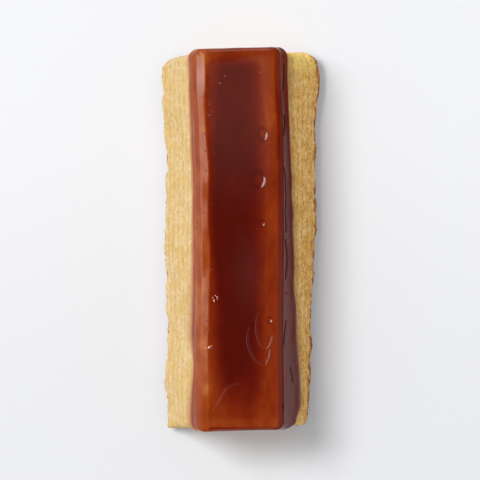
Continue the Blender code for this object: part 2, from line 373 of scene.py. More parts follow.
def crumb_relief(places, across):
    """Grain and pores of the cut sponge, coarser on the right."""
    drawn_out = places * GRAIN_SQUEEZE
    grain = blend(GRAIN_LEFT, GRAIN_RIGHT, (across + 1) / 2)
    lumps = ripple(drawn_out, GRAIN_SIZE, 7) + 0.6 * ripple(drawn_out, GRAIN_SIZE / 2, 8)
    return grain * (GRAIN_HEIGHT * lumps - PORE_DEPTH * pores(drawn_out, PORE_SIZE, PORE_REACH))


def caramel_run(across, along):
    """Share of the cake's depth that the caramel reaches at this place on the outline."""
    x, y, _, _ = section_points(across, along, 0.0, 0.0)
    run = blend(value_along(RUN_LEFT, y), value_along(RUN_RIGHT, y), (across + 1) / 2)
    return run + RUN_WAVE * ripple(np.stack((x, y, 0 * x), axis=1), RUN_WAVE_SIZE, 4)


def cake_points(across, along, depth):
    x, y, _, _ = section_points(across, along, depth, 0.0)
    radius = blend(INNER_RADIUS, OUTER_RADIUS, depth)
    places = np.stack((x, y, ring_height(x, radius)), axis=1)
    hidden = ease((CORE_SHARE * caramel_run(across, along) - depth) / 0.05)
    relief = SWELL * ripple(places, SWELL_SIZE, 1) + crust_crags(places, depth) - layer_groove(places, depth)
    relief += crumb_relief(places, across)
    x, y, _, _ = section_points(across, along, depth, blend(relief, -CORE_INSET, hidden))
    underside = np.where(depth == 1, WRINKLE_HEIGHT * (ripple(places, WRINKLE_SIZE, 9) - 0.6), 0.0)
    radius = radius + layer_wander(places, depth) + hidden * CORE_INSET + underside
    return np.stack((x, y, np.maximum(0.0, ring_height(x, radius))), axis=1)


def caramel_growth(drop):
    """How far the caramel stands out from the cake at a share of its run: ridge, side, bead, then the lip."""
    bead = BEAD * np.exp(-(((drop - BEAD_PLACE) / BEAD_WIDTH) ** 2))
    side = blend(AT_RIDGE, AT_SIDE, ease(drop / SIDE_START)) + bead
    turn = np.clip((drop - LIP_START) / (1 - LIP_START), 0.0, 1.0)
    return blend(AT_LIP, side, np.sqrt(1 - turn**2))


def plateau_height(x, y):
    middle = np.cos(math.pi / 2 * np.minimum(1.0, np.abs(x) / PLATEAU_HALF_WIDTH))
    wave = PLATEAU_WAVE * ripple(np.stack((x, y, 0 * x), axis=1), PLATEAU_WAVE_SIZE, 5)
    return PLATEAU_HEIGHT - PLATEAU_SAG * middle + wave


def shoulder(inset, reach, fall):
    """How far the top has curved down at a distance in from an edge."""
    turn = SHOULDER_TURN * np.maximum(0.0, 1 - inset / reach)
    return fall * (1 - np.sqrt(1 - turn**2)) / (1 - math.sqrt(1 - SHOULDER_TURN**2))


def caramel_tops(across, along):
    """Heights of the caramel's top, or of its edge, above lattice points."""
    x, y, from_side, from_end = section_points(across, along, 0.0, AT_RIDGE)
    facet = np.maximum(0.0, value_along(LEFT_FACET, y) * MM - from_side)
    left = shoulder(from_side, *LEFT_SHOULDER) + LEFT_FACET_SLOPE * facet
    side = np.where(across < 0, left, shoulder(from_side, *RIGHT_SHOULDER))
    end = np.where(along < 0, shoulder(from_end, *NEAR_SHOULDER), shoulder(from_end, *FAR_SHOULDER))
    return plateau_height(x, y) - (side**SHOULDER_BLEND + end**SHOULDER_BLEND) ** (1 / SHOULDER_BLEND)


def caramel_outer_points(across, along, drop):
    run = caramel_run(across, along)
    x, y, _, _ = section_points(across, along, run * drop, caramel_growth(drop))
    foot_x, _, _, _ = section_points(across, along, run, 0.0)
    foot = ring_height(foot_x, blend(INNER_RADIUS, OUTER_RADIUS, run))
    return np.stack((x, y, blend(caramel_tops(across, along), foot, drop)), axis=1)


def caramel_inner_points(across, along):
    """The hidden side: from the lip up inside the skin, then across under the top."""
    outward = np.maximum(np.abs(across), np.abs(along))
    drop = np.clip((outward - UNDERSIDE_TOP) / (1 - UNDERSIDE_TOP), 0.0, 1.0)
    stretch = 1 / np.maximum(outward, UNDERSIDE_TOP)
    depth = caramel_run(across * stretch, along * stretch) * drop
    x, y, _, _ = section_points(across * stretch, along * stretch, depth, UNDERSIDE)
    height = ring_height(x, blend(INNER_RADIUS, OUTER_RADIUS, depth))
    return np.stack((x, y, height), axis=1)


def curve(route):
    """Points in plan, as complex numbers in metres, along a smooth curve through a route's points."""
    stops = np.array(route) @ (1, 1j) * MM
    stops = np.concatenate((2 * stops[:1] - stops[1:2], stops, 2 * stops[-1:] - stops[-2:-1]))
    t = np.arange(CURVE_PIECES)[:, None] / CURVE_PIECES
    before, start, stop, after = stops[:-3], stops[1:-2], stops[2:-1], stops[3:]
    pull = (stop - before) * t + (2 * before - 5 * start + 4 * stop - after) * t**2
    pull = pull + (3 * start - before - 3 * stop + after) * t**3
    return np.append((start + pull / 2).T.ravel(), stops[-2])


def curve_distance(x, y, route):
    """Distance in plan to a smooth curve through a route's points."""
    places = x + 1j * y
    nearest = np.full(len(x), np.inf)
    line = curve(route)
    for start, stop in zip(line, line[1:]):
        share = np.clip(((places - start) / (stop - start)).real, 0.0, 1.0)
        nearest = np.minimum(nearest, np.abs(places - start - share * (stop - start)))
    return nearest


def dents(x, y):
    """Depth of the dents in the caramel's top, with a soft wall on one side and a steep one opposite."""
    depth = 0 * x
    for centre_x, centre_y, half_width, half_length, deepest in DENTS:
        from_x = (x - centre_x * MM) / (half_width * MM)
        from_y = (y - centre_y * MM) / (half_length * MM)
        out = np.hypot(from_x, from_y)
        steep = (1 + np.cos(np.arctan2(from_y, from_x) - DENT_STEEP_TOWARDS)) / 2
        wall = DENT_WALL / (half_width * MM)
        depth += deepest * MM * blend(DENT_LEAST, 1.0, steep**2) * ease((1 - out) / wall)
    return depth


def dent_rims(x, y):
    """Where the caramel lies thicker round the inside of each dent, and thinner in its middle."""
    change = 0 * x
    for centre_x, centre_y, half_width, half_length, _ in DENTS:
        out = np.hypot((x / MM - centre_x) / half_width, (y / MM - centre_y) / half_length)
        change += np.exp(-(((out - DENT_RIM) / DENT_RIM_WIDTH) ** 2))
        change -= DENT_MIDDLE * np.exp(-((out / DENT_MIDDLE_WIDTH) ** 2))
    return change


def folds(x, y):
    """How deep a place lies in a fold of the right side, and how far it stands up in a fold's lip."""
    distance = np.min([curve_distance(x, y, route) for route in FOLDS], axis=0)
    groove = np.exp(-((distance / FOLD_WIDTH) ** 2))
    lip = np.exp(-(((distance - FOLD_LIP_WIDTH) / FOLD_LIP_WIDTH * 2) ** 2))
    return groove, lip


def lattice_box(across_cuts, along_cuts, downs):
    """A box cut into quads that face out: across, along and down of its points, and the quads."""
    wide, long, deep = len(across_cuts) - 1, len(along_cuts) - 1, len(downs) - 1
    numbers = {}
    quads = []

    def quad(*corners):
        quads.append([numbers.setdefault(corner, len(numbers)) for corner in corners])

    for i in range(wide):
        for j in range(long):
            quad((i, j, 0), (i + 1, j, 0), (i + 1, j + 1, 0), (i, j + 1, 0))
            quad((i, j + 1, deep), (i + 1, j + 1, deep), (i + 1, j, deep), (i, j, deep))
    for k in range(deep):
        for i in range(wide):
            quad((i, 0, k), (i, 0, k + 1), (i + 1, 0, k + 1), (i + 1, 0, k))
            quad((i, long, k), (i + 1, long, k), (i + 1, long, k + 1), (i, long, k + 1))
        for j in range(long):
            quad((0, j, k), (0, j + 1, k), (0, j + 1, k + 1), (0, j, k + 1))
            quad((wide, j, k), (wide, j, k + 1), (wide, j + 1, k + 1), (wide, j + 1, k))
    i, j, k = np.array(list(numbers)).T
    return np.array(across_cuts)[i], np.array(along_cuts)[j], np.array(downs)[k], np.array(quads)


def outward_normals(points, quads):
    corners = points[quads]
    face_normals = np.cross(corners[:, 2] - corners[:, 0], corners[:, 3] - corners[:, 1])
    normals = np.zeros_like(points)
    for corner in range(4):
        np.add.at(normals, quads[:, corner], face_normals)
    return normals / np.linalg.norm(normals, axis=1, keepdims=True)


def add_piece(name, points, faces, values, material):
    """A smooth mesh object riding with the cake; its points hold named numbers for the material to read."""
    mesh = bpy.data.meshes.new(name)
    mesh.from_pydata(points.tolist(), [], [list(face) for face in faces])
    for key, numbers in values.items():
        mesh.attributes.new(key, "FLOAT", "POINT").data.foreach_set("value", numbers.astype(np.float32))
    mesh.shade_smooth()
    mesh.update()
    mesh.materials.append(material)
    piece = bpy.data.objects.new(name, mesh)
    bpy.context.scene.collection.objects.link(piece)
    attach(piece, "root")
    return piece


def within(points, node):
    """Points held inside the box of the solid that they belong to."""
    lowest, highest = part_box(node)
    return np.clip(points, lowest, highest)


class Nodes:
    """A new material, with short ways to add shader nodes to it and link them."""

    def __init__(self, name):
        self.material = bpy.data.materials.new(name)
        self.material.use_nodes = True
        self.tree = self.material.node_tree
        self.shader = self.tree.nodes["Principled BSDF"]

    def put(self, node, name, value):
        if isinstance(value, bpy.types.NodeSocket):
            self.tree.links.new(value, node.inputs[name])
        else:
            node.inputs[name].default_value = value

    def add(self, kind, **inputs):
        node = self.tree.nodes.new(kind)
        for name, value in inputs.items():
            self.put(node, name, value)
        return node

    def value(self, name):
        """A named number that the mesh holds on its points."""
        node = self.tree.nodes.new("ShaderNodeAttribute")
        node.attribute_name = name
        return node.outputs["Fac"]

    def place(self, squeeze):
        coordinates = self.tree.nodes.new("ShaderNodeTexCoord").outputs["Object"]
        return self.add("ShaderNodeMapping", Vector=coordinates, Scale=squeeze).outputs["Vector"]

    def noise(self, size, detail=2.0, roughness=0.5, squeeze=(1, 1, 1)):
        """Cloudy noise from 0 to 1, with lumps of the given size."""
        node = self.add("ShaderNodeTexNoise", Vector=self.place(squeeze), Scale=1 / size)
        self.put(node, "Detail", detail)
        self.put(node, "Roughness", roughness)
        return node.outputs["Fac"]

    def math(self, operation, first, second=0.0, clamp=False):
        node = self.tree.nodes.new("ShaderNodeMath")
        node.operation = operation
        node.use_clamp = clamp
        self.put(node, 0, first)
        self.put(node, 1, second)
        return node.outputs[0]

    def times(self, *values):
        product = values[0]
        for value in values[1:]:
            product = self.math("MULTIPLY", product, value)
        return product

    def stray(self, value, noise_value, reach):
        """The value moved up or down by noise."""
        centred = self.math("SUBTRACT", noise_value, 0.5)
        return self.math("ADD", value, self.math("MULTIPLY", centred, reach))

    def span(self, value, low, high, to_low=0.0, to_high=1.0):
        """The value carried smoothly from the range low to high into another range."""
        node = self.tree.nodes.new("ShaderNodeMapRange")
        node.interpolation_type = "SMOOTHSTEP"
        self.put(node, "Value", value)
        self.put(node, "From Min", low)
        self.put(node, "From Max", high)
        self.put(node, "To Min", to_low)
        self.put(node, "To Max", to_high)
        return node.outputs["Result"]

    def mix(self, share, first, second, way="MIX"):
        node = self.tree.nodes.new("ShaderNodeMix")
        node.data_type = "RGBA"
        node.blend_type = way
        self.put(node, 0, share)
        self.put(node, 6, first)
        self.put(node, 7, second)
        return node.outputs[2]

    def ramp(self, share, stops):
        node = self.tree.nodes.new("ShaderNodeValToRGB")
        elements = node.color_ramp.elements
        elements[0].position, elements[0].color = stops[0]
        elements[1].position, elements[1].color = stops[-1]
        for place, colour in stops[1:-1]:
            elements.new(place).color = colour
        self.put(node, "Fac", share)
        return node.outputs["Color"]

    def bump(self, height, distance, normal=None):
        node = self.add("ShaderNodeBump", Height=height, Distance=distance)
        if normal is not None:
            self.put(node, "Normal", normal)
        return node.outputs["Normal"]


CREAM = (0.640, 0.480, 0.265, 1)
YELLOW = (0.585, 0.420, 0.160, 1)
TAN = (0.520, 0.320, 0.115, 1)
GOLDEN_CREAM = (0.99, 0.66, 0.26, 1)
GOLDEN = (0.86, 0.49, 0.115, 1)
TOASTED = (0.62, 0.255, 0.040, 1)
SUNLIT = (1.00, 0.70, 0.20, 1)
SEAM = (0.46, 0.225, 0.060, 1)
UNDER_LIP_BROWN = (0.34, 0.150, 0.055, 1)
CRUST_LIGHT = (0.56, 0.240, 0.075, 1)
CRUST_DARK = (0.26, 0.090, 0.026, 1)


def crumb_material():
    """Sponge, pale on the left and golden on the right, partly painted shade, with faint layer lines and a
    browned crust.
    """
    nodes = Nodes("crumb")
    layer = nodes.value("layer")
    side_shade_and_corner_light = nodes.value("side_shade_and_corner_light")
    under_lip_darkening = nodes.value("under_lip_darkening")
    drawn_out = (1, 0.8, 0.6)
    cloud = nodes.span(nodes.noise(3.0 * MM, 3.0, 0.6, drawn_out), 0.38, 0.62)
    mottle = nodes.span(nodes.noise(0.9 * MM, 3.0, 0.6, (1, 0.9, 0.8)), 0.43, 0.58)
    speck = nodes.span(nodes.noise(0.55 * MM, 2.0, 0.5), 0.46, 0.62)
    pale = nodes.mix(cloud, CREAM, YELLOW)
    pale = nodes.mix(nodes.times(mottle, 0.60), pale, TAN)
    pale = nodes.mix(nodes.times(speck, 0.45), pale, CREAM)
    # The right face's golden is partly painted shade: the same crumb as the left, warmer and more saturated
    # as it looks in shade
    golden = nodes.mix(cloud, GOLDEN, GOLDEN_CREAM)
    golden = nodes.mix(nodes.times(mottle, 0.52), golden, TOASTED)
    golden = nodes.mix(nodes.times(speck, 0.62), golden, GOLDEN_CREAM)
    patch = nodes.span(nodes.noise(1.5 * MM, 3.0, 0.6), 0.50, 0.66)
    golden = nodes.mix(nodes.times(patch, nodes.span(layer, 3.0, LAYERS, 0.2, 0.75)), golden, TOASTED)
    # Painted light: above 1, on the far right corner, the golden turns to a lit yellow
    golden = nodes.mix(nodes.span(side_shade_and_corner_light, 1.0, 1.5, 0.0, 0.9), golden, SUNLIT)
    base = nodes.mix(side_shade_and_corner_light, pale, golden)
    wavy = nodes.stray(layer, nodes.noise(1.2 * MM, 3.0, 0.5, drawn_out), 0.28)
    # Broken lines where one layer meets the next, fainter on the golden right face
    line = nodes.span(nodes.math("PINGPONG", wavy, 0.5), 0.0, 0.18, 1.0, 0.0)
    broken = nodes.span(nodes.noise(1.3 * MM, 3.0, 0.6, drawn_out), 0.38, 0.62, 0.20, 0.70)
    fainter = nodes.span(side_shade_and_corner_light, 0.0, 1.0, 1.0, 0.7)
    base = nodes.mix(nodes.times(line, broken, fainter), base, SEAM)
    # Darker brown on the cake just below the caramel's lip
    base = nodes.mix(under_lip_darkening, base, UNDER_LIP_BROWN)
    crust_edge = nodes.stray(layer, nodes.noise(1.4 * MM, 3.0), 1.4)
    crust_edge = nodes.math("ADD", crust_edge, nodes.times(side_shade_and_corner_light, 0.35))
    crust = nodes.span(crust_edge, LAYERS - 0.30, LAYERS - 0.05)
    crust_tone = nodes.span(nodes.noise(2.0 * MM, 4.0, 0.6), 0.35, 0.65)
    base = nodes.mix(crust, base, nodes.mix(crust_tone, CRUST_DARK, CRUST_LIGHT))
    shader = nodes.shader
    nodes.put(shader, "Base Color", base)
    nodes.put(shader, "Roughness", 0.8)
    nodes.put(shader, "Specular IOR Level", 0.08)
    nodes.put(shader, "Subsurface Weight", 0.25)
    nodes.put(shader, "Subsurface Radius", (1.0, 0.55, 0.25))
    nodes.put(shader, "Subsurface Scale", 1.0 * MM)
    coarse_depth = nodes.span(side_shade_and_corner_light, 0.0, 1.0, 0.38 * MM, 0.22 * MM)
    fine_depth = nodes.span(side_shade_and_corner_light, 0.0, 1.0, 0.14 * MM, 0.06 * MM)
    coarse = nodes.bump(nodes.noise(1.0 * MM, 3.0, 0.65, drawn_out), coarse_depth)
    nodes.put(shader, "Normal", nodes.bump(nodes.noise(0.4 * MM, 3.0, 0.6, drawn_out), fine_depth, coarse))
    return nodes.material


CARAMEL_DEPTHS = (
    (0.0, (0.34, 0.098, 0.021, 1)),
    (0.12, (0.255, 0.046, 0.0075, 1)),
    (0.25, (0.200, 0.0260, 0.0028, 1)),
    (0.42, (0.155, 0.0140, 0.0018, 1)),
    (0.60, (0.118, 0.0078, 0.0014, 1)),
    (0.80, (0.088, 0.0044, 0.0011, 1)),
    (1.0, (0.066, 0.0030, 0.0010, 1)),
)
THIN_EDGE = (0.50, 0.24, 0.11, 1)
PAINTED_REFLECTION = (0.017, 0.018, 0.016, 1)
FROTH_COLOUR = (0.80, 0.42, 0.34, 1)
FOLD_PAINTED_SHADE = (0.052, 0.004, 0.003, 1)
SHEEN = (1.0, 0.90, 0.86, 1)


def caramel_material():
    """Glossy caramel, orange where it is thin, dark where it is deep and pale where it froths, with painted
    reflection on its top, painted shade in its folds and painted light and shade on its bubbles.
    """
    nodes = Nodes("caramel")
    pool_and_painted_shade = nodes.stray(nodes.value("pool_and_painted_shade"), nodes.noise(4 * MM, 3.0, 0.55, (1, 0.5, 1)), 0.40)
    pool_and_painted_shade = nodes.stray(pool_and_painted_shade, nodes.noise(1.8 * MM, 3.0, 0.6, (1, 0.6, 1)), 0.22)
    pool_and_painted_shade = nodes.stray(pool_and_painted_shade, nodes.noise(1.0 * MM, 2.0, 0.5, (1, 0.2, 1)), 0.12)
    base = nodes.ramp(pool_and_painted_shade, CARAMEL_DEPTHS)
    # Painted reflection: a pale sheen added to the top's colour
    base = nodes.mix(nodes.value("painted_reflection"), base, PAINTED_REFLECTION, "ADD")
    base = nodes.mix(nodes.value("thin"), base, THIN_EDGE)
    base = nodes.mix(nodes.value("froth_and_painted_light"), base, FROTH_COLOUR)
    fold = nodes.value("fold")
    # Painted shade: the folds' grooves are painted near-black, and mirror less
    base = nodes.mix(fold, base, FOLD_PAINTED_SHADE)
    shader = nodes.shader
    nodes.put(shader, "Base Color", base)
    nodes.put(shader, "Roughness", 0.10)
    nodes.put(shader, "IOR", 1.45)
    nodes.put(shader, "Specular Tint", SHEEN)
    unfolded = nodes.span(fold, 0.1, 0.7, 1.0, 0.1)
    nodes.put(shader, "Specular IOR Level", nodes.times(nodes.value("gloss"), unfolded))
    facing = nodes.add("ShaderNodeLayerWeight", Blend=0.5).outputs["Facing"]
    coat = nodes.times(nodes.value("side"), nodes.span(facing, 0.25, 0.55, 0.5, 0.0))
    nodes.put(shader, "Coat Weight", coat)
    nodes.put(shader, "Coat Roughness", 0.12)
    nodes.put(shader, "Normal", nodes.bump(nodes.noise(1.6 * MM, 2.0), 0.02 * MM))
    return nodes.material


# The leaning strip along the left, as (y, depth of the caramel) and (y, how strongly it mirrors)
STRIP_POOL = ((-44, 0.19), (-37, 0.16), (-30, 0.10), (-10, 0.13), (14, 0.13), (30, 0.16), (44, 0.12))
STRIP_GLOSS = ((-44, 0.02), (-14, 0.12), (5, 0.12), (20, 0.19), (31, 0.16), (38, 0.38), (43, 0.20))


# A thin dark line where the top turns down over the near end
NEAR_RIM, NEAR_RIM_WIDTH = -44.7, 0.25  # in millimetres
NEAR_RIM_DEPTH = 0.4


def from_ridges(points):
    """Millimetres that places lie in from the top's left edge, the crease beside it and the right edge."""
    x, y = points[:, 0] / MM, points[:, 1]
    from_left = x + value_along(RIDGE_LEFT, y) + AT_RIDGE / MM
    from_crease = from_left - value_along(LEFT_FACET, y)
    from_right = value_along(RIDGE_RIGHT, y) + AT_RIDGE / MM - x
    return from_left, from_crease, from_right


def caramel_pool(points, across, drop):
    """How deep the caramel lies, from 0 where it is thin and orange to 1 where it is thick and dark."""
    y = points[:, 1] / MM
    nearness = 1 - ease((y + 40) / 45)
    farness = ease((y - 15) / 20)
    _, from_crease, from_right = from_ridges(points)
    # It deepens in from the crease on the left and thins towards the right edge
    left_edge = blend(blend(0.52, 0.28, nearness), 0.42, farness)
    top = blend(left_edge, 1.0, ease(from_crease / (2.0 + 4.0 * nearness + 2.0 * farness)))
    top *= ease((from_right - 1.2) / 7.5)
    # It thins towards both ends as well, but is never quite clear
    top *= blend(0.36, 1.0, ease((y + 45) / 17)) * blend(0.45, 1.0, ease((43.5 - y) / 4))
    top *= blend(1.0, 0.85, farness)
    least = blend(0.34, 0.22, farness * ease((43 - y) / 2)) * blend(0.7, 1.0, ease(from_crease / 2))
    top = blend(np.maximum(top, least), 0.24, 0.8 * ease((-41.6 - y) / 1.5))
    # Dents, the near rim, then the leaning strip and the right shoulder, which have depths of their own
    top += 0.25 * dent_rims(points[:, 0], points[:, 1])
    top += NEAR_RIM_DEPTH * np.exp(-(((y - NEAR_RIM) / NEAR_RIM_WIDTH) ** 2))
    top = blend(top, value_along(STRIP_POOL, points[:, 1]), ease(0.5 - from_crease / 0.4))
    top = blend(top, 0.60 - 0.2 * ease((y - 32) / 8), ease((1.8 - from_right) / 0.7))
    side = blend(0.14, 0.57 - 0.25 * ease((y - 24) / 16), (across + 1) / 2)
    return np.where(drop > 0, side, top)


def caramel_gloss(points, across, drop):
    """How strongly the caramel mirrors: most on the top, less on the leaning strip and down the sides."""
    from_left, from_crease, from_right = from_ridges(points)
    top = blend(0.55, value_along(STRIP_GLOSS, points[:, 1]), ease(1.5 - from_crease))
    top = blend(top, 0.09, ease((0.8 - from_left) / 0.4))
    top = blend(top, 0.09, ease((3.0 - from_right) / 1.0))
    right = blend(0.04, 0.01, ease((points[:, 1] / MM - 15) / 20))
    return np.where(drop > 0, np.where(across < 0, 0.09, blend(0.09, right, ease(drop * 10))), top)


def caramel_painted_reflection(points):
    """How much pale reflection is painted on the top: most over its far half, in a patch in the middle and
    along its side edges.
    """
    x, y = points[:, 0] / MM, points[:, 1] / MM
    far = 0.5 * ease((y - 2) / 26) * ease((42.9 + 0.16 * x - y) / 1.2)
    patch = 0.3 * np.exp(-(((x - 2) / 3.5) ** 2) - ((y + 8) / 8) ** 2)
    from_left, from_crease, from_right = from_ridges(points)
    edge = 0.7 * np.exp(-(((from_right - 1.0) / 0.7) ** 2)) * ease((30 - y) / 50)
    edge += blend(2.0, 0.6, ease((y - 20) / 15)) * np.exp(-(((from_left - 0.45) / 0.4) ** 2))
    return np.maximum(far, patch) * ease((from_crease - 0.4) / 1.2) * ease((8.8 - x) / 3) + edge


def even(steps):
    """From -1 to 1 in even steps."""
    return np.linspace(-1, 1, steps + 1)


def crowded(steps):
    """From -1 to 1 with the steps a little closer together towards both ends."""
    return blend(even(steps), np.sin(math.pi / 2 * even(steps)), 0.6)


def stretches(*parts):
    """Steps from 0 to 1 made of evenly divided stretches, each given as (end, steps)."""
    places = [0.0]
    for end, steps in parts:
        places += list(np.linspace(places[-1], end, steps + 1)[1:])
    return places


# The far right corner of the cake, painted lighter and yellower than the rest: painted light
CORNER_START, CORNER_LENGTH = 37, 5  # along the bar, in millimetres
CORNER_ACROSS = 0.6  # where it starts across the bar
CORNER_PAINTED_LIGHT = 1.5  # above 1 the crumb is painted in the lit yellow


def make_cake(material):
    across, along, depth, quads = lattice_box(even(52), even(264), stretches((0.1, 4), (0.93, 86), (1.0, 16)))
    points = within(cake_points(across, along, depth), "cake")
    right = (across + 1) / 2
    under_lip_reach = blend(0.15 + 0.08 * ease(-points[:, 1] / MM / 20), 0.30, right)
    below_lip = (depth - caramel_run(across, along)) / under_lip_reach
    far_corner = ease((points[:, 1] / MM - CORNER_START) / CORNER_LENGTH)
    far_corner *= ease((across - CORNER_ACROSS) / (1 - CORNER_ACROSS))
    values = {
        "layer": depth * LAYERS,
        # painted shade: the right face turns golden; above 1, painted light on its far corner
        "side_shade_and_corner_light": ease(right) * blend(1.0, CORNER_PAINTED_LIGHT, far_corner),
        # darker just below the caramel's lip
        "under_lip_darkening": ease(1 - below_lip) * blend(0.7, 0.85, right),
    }
    piece = add_piece("layered_cake", points, quads, values, material)
    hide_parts("cake")


def make_caramel(material):
    """The caramel's skin; gives back its surface for what is set on it."""
    downs = stretches((0.3, 14), (LIP_START, 12), (1.0, 6))
    across, along, drop, quads = lattice_box(crowded(76), even(384), downs)
    points = caramel_outer_points(across, along, drop)
    hidden = (drop == 1) & (np.abs(across) < 1) & (np.abs(along) < 1)
    points[hidden] = caramel_inner_points(across[hidden], along[hidden])
    x, y = points[:, 0], points[:, 1]
    groove, lip = folds(x, y)
    on_right = ease((x / MM - 9.2) / 0.4) * (across > 0)
    groove, lip = groove * on_right, lip * on_right
    height = SHORT_WAVE * ripple(points, SHORT_WAVE_SIZE, 10) + WIDE_WAVE * ripple(points, WIDE_WAVE_SIZE, 12)
    height *= blend(TOP_WAVES, 1.0, ease(drop * 4))
    height += FOLD_LIP * lip - FOLD_DEPTH * groove
    height -= np.where(drop == 0, dents(x, y), 0.0)
    height *= 1 - ease((drop - LIP_START) / (1 - LIP_START))
    points += outward_normals(points, quads) * np.where(hidden, 0.0, height)[:, None]
    points = within(points, "caramel_glaze")
    right = (across + 1) / 2
    values = {
        "pool_and_painted_shade": caramel_pool(points, across, drop),
        "fold": groove * (drop < 1),
        "painted_reflection": caramel_painted_reflection(points) * (drop == 0),
        "gloss": caramel_gloss(points, across, drop),
        "side": ease(drop * 4),
        "thin": ease((drop - blend(0.48, 0.76, right)) / 0.3) * blend(0.9, 0.5, right),
    }
    piece = add_piece("caramel_skin", points, quads, values, material)
    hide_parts("caramel_glaze")
    return BVHTree.FromPolygons(points.tolist(), quads.tolist())


def small_balls(centres, sizes, subdivisions, jitter, squash, random):
    """Many small round shapes in one mesh: points, triangles and the number of the ball at each point."""
    ball = bmesh.new()
    bmesh.ops.create_icosphere(ball, subdivisions=subdivisions, radius=1)
    shape = np.array([point.co for point in ball.verts])
    triangles = np.array([[point.index for point in face.verts] for face in ball.faces])
    ball.free()
    count, corners = len(centres), len(shape)
    lumps = 1 + jitter * random.uniform(-1, 1, (count, corners, 1))
    points = shape * lumps * sizes[:, None, None] * (1, 1, squash) + centres[:, None, :]
    starts = np.arange(count)[:, None, None] * corners
    numbers = np.repeat(np.arange(count), corners)
    return points.reshape(-1, 3), (triangles + starts).reshape(-1, 3), numbers


def height_at(skin, x, y):
    """Height of the caramel's top at a place in plan."""
    spot, _, _, _ = skin.ray_cast(Vector((x, y, 1.0)), Vector((0, 0, -1)))
    return spot.z


def on_skin(skin, spots):
    """Centres and sizes in metres of round spots given as (x, y, radius) in millimetres."""
    x, y, sizes = np.array(spots).T * MM
    return np.array([(*place, height_at(skin, *place)) for place in zip(x, y)]), sizes


def make_bubbles(skin, material, random):
    """Bubbles on the caramel's top, those that stand out and many smaller ones."""
    x = random.uniform(*SMALL_BUBBLE_ACROSS, SMALL_BUBBLES)
    y = random.uniform(*SMALL_BUBBLE_ALONG, SMALL_BUBBLES)
    small = zip(x, y, random.uniform(*SMALL_BUBBLE_SIZES, SMALL_BUBBLES))
    centres, sizes = on_skin(skin, (*BUBBLES, *small))
    points, triangles, numbers = small_balls(centres, sizes, BALL_DETAIL, 0.0, BUBBLE_SQUASH, random)
    # Painted light and shade: each bubble is painted paler on its near right and darker on its far left
    towards = (points - centres[numbers]) @ PAINTED_LIT_SIDE / sizes[numbers]
    painted_light_share = ease((towards - BRIGHT_FROM) / BRIGHT_SPAN)
    painted_shade = BUBBLE_PAINTED_SHADE * (1 - painted_light_share)
    add_detail("caramel_bubbles", points, triangles, painted_shade, BUBBLE_PAINTED_LIGHT * painted_light_share, material)


def make_froth(skin, material, random):
    """The two heaps of froth, each a few small lumpy balls."""
    centres, sizes = on_skin(skin, FROTH)
    points, triangles, _ = small_balls(centres, sizes, BALL_DETAIL, FROTH_LUMPS, FROTH_SQUASH, random)
    add_detail("caramel_froth", points, triangles, 0.0, FROTH_PALENESS, material)


def thread_points(skin, half_width, rise, route):
    """Rings of points round a thin string that lies half sunk in the top and tapers to both ends."""
    line = curve(route)
    run = np.concatenate(((0,), np.cumsum(np.abs(np.diff(line)))))
    places = np.linspace(0, run[-1], max(THREAD_LEAST_RINGS, round(run[-1] / THREAD_STEP)))
    middle = np.interp(places, run, line.real) + 1j * np.interp(places, run, line.imag)
    sideways = 1j * np.gradient(middle) / np.abs(np.gradient(middle))
    taper = np.sqrt(np.sin(np.linspace(THREAD_TIP, math.pi - THREAD_TIP, len(places))))
    rings = []
    for centre, side, size in zip(middle, sideways, taper):
        low = height_at(skin, centre.real, centre.imag)
        for turn in np.arange(THREAD_SIDES) * math.tau / THREAD_SIDES:
            place = centre + side * math.cos(turn) * half_width * MM * size
            rings.append((place.real, place.imag, low + math.sin(turn) * rise * MM * size))
    return np.array(rings)


def tube_faces(rings):
    """Faces of a tube of rings, closed at both ends and facing out."""
    ring, side = np.divmod(np.arange((rings - 1) * THREAD_SIDES), THREAD_SIDES)
    here, beside = ring * THREAD_SIDES + side, ring * THREAD_SIDES + (side + 1) % THREAD_SIDES
    quads = np.stack((here, beside, beside + THREAD_SIDES, here + THREAD_SIDES), axis=1).tolist()
    last_ring = (rings - 1) * THREAD_SIDES
    return quads + [list(reversed(range(THREAD_SIDES))), list(range(last_ring, last_ring + THREAD_SIDES))]


def make_threads(skin, material):
    """All the raised threads, as one piece."""
    points, faces = [], []
    for half_width, rise, route in THREADS:
        string = thread_points(skin, half_width, rise, route)
        string_faces = tube_faces(len(string) // THREAD_SIDES)
        faces += [[number + len(points) for number in face] for face in string_faces]
        points += string.tolist()
    add_detail("caramel_threads", np.array(points), faces, 0.0, THREAD_PALENESS, material)


def add_detail(name, points, faces, painted_shade, froth_and_painted_light, material):
    """A small piece on the caramel's top, coloured like the caramel round it and its painted reflection, plus
    painted shade and paleness: painted light on the bubbles, its own colour on the other pieces.
    """
    on_top = 0 * points[:, 0]
    values = {
        "pool_and_painted_shade": caramel_pool(points, on_top, on_top) + painted_shade,
        "painted_reflection": caramel_painted_reflection(points),
        "froth_and_painted_light": on_top + froth_and_painted_light,
        "gloss": on_top + DETAIL_GLOSS,
    }
    piece = add_piece(name, within(points, "caramel_glaze"), faces, values, material)


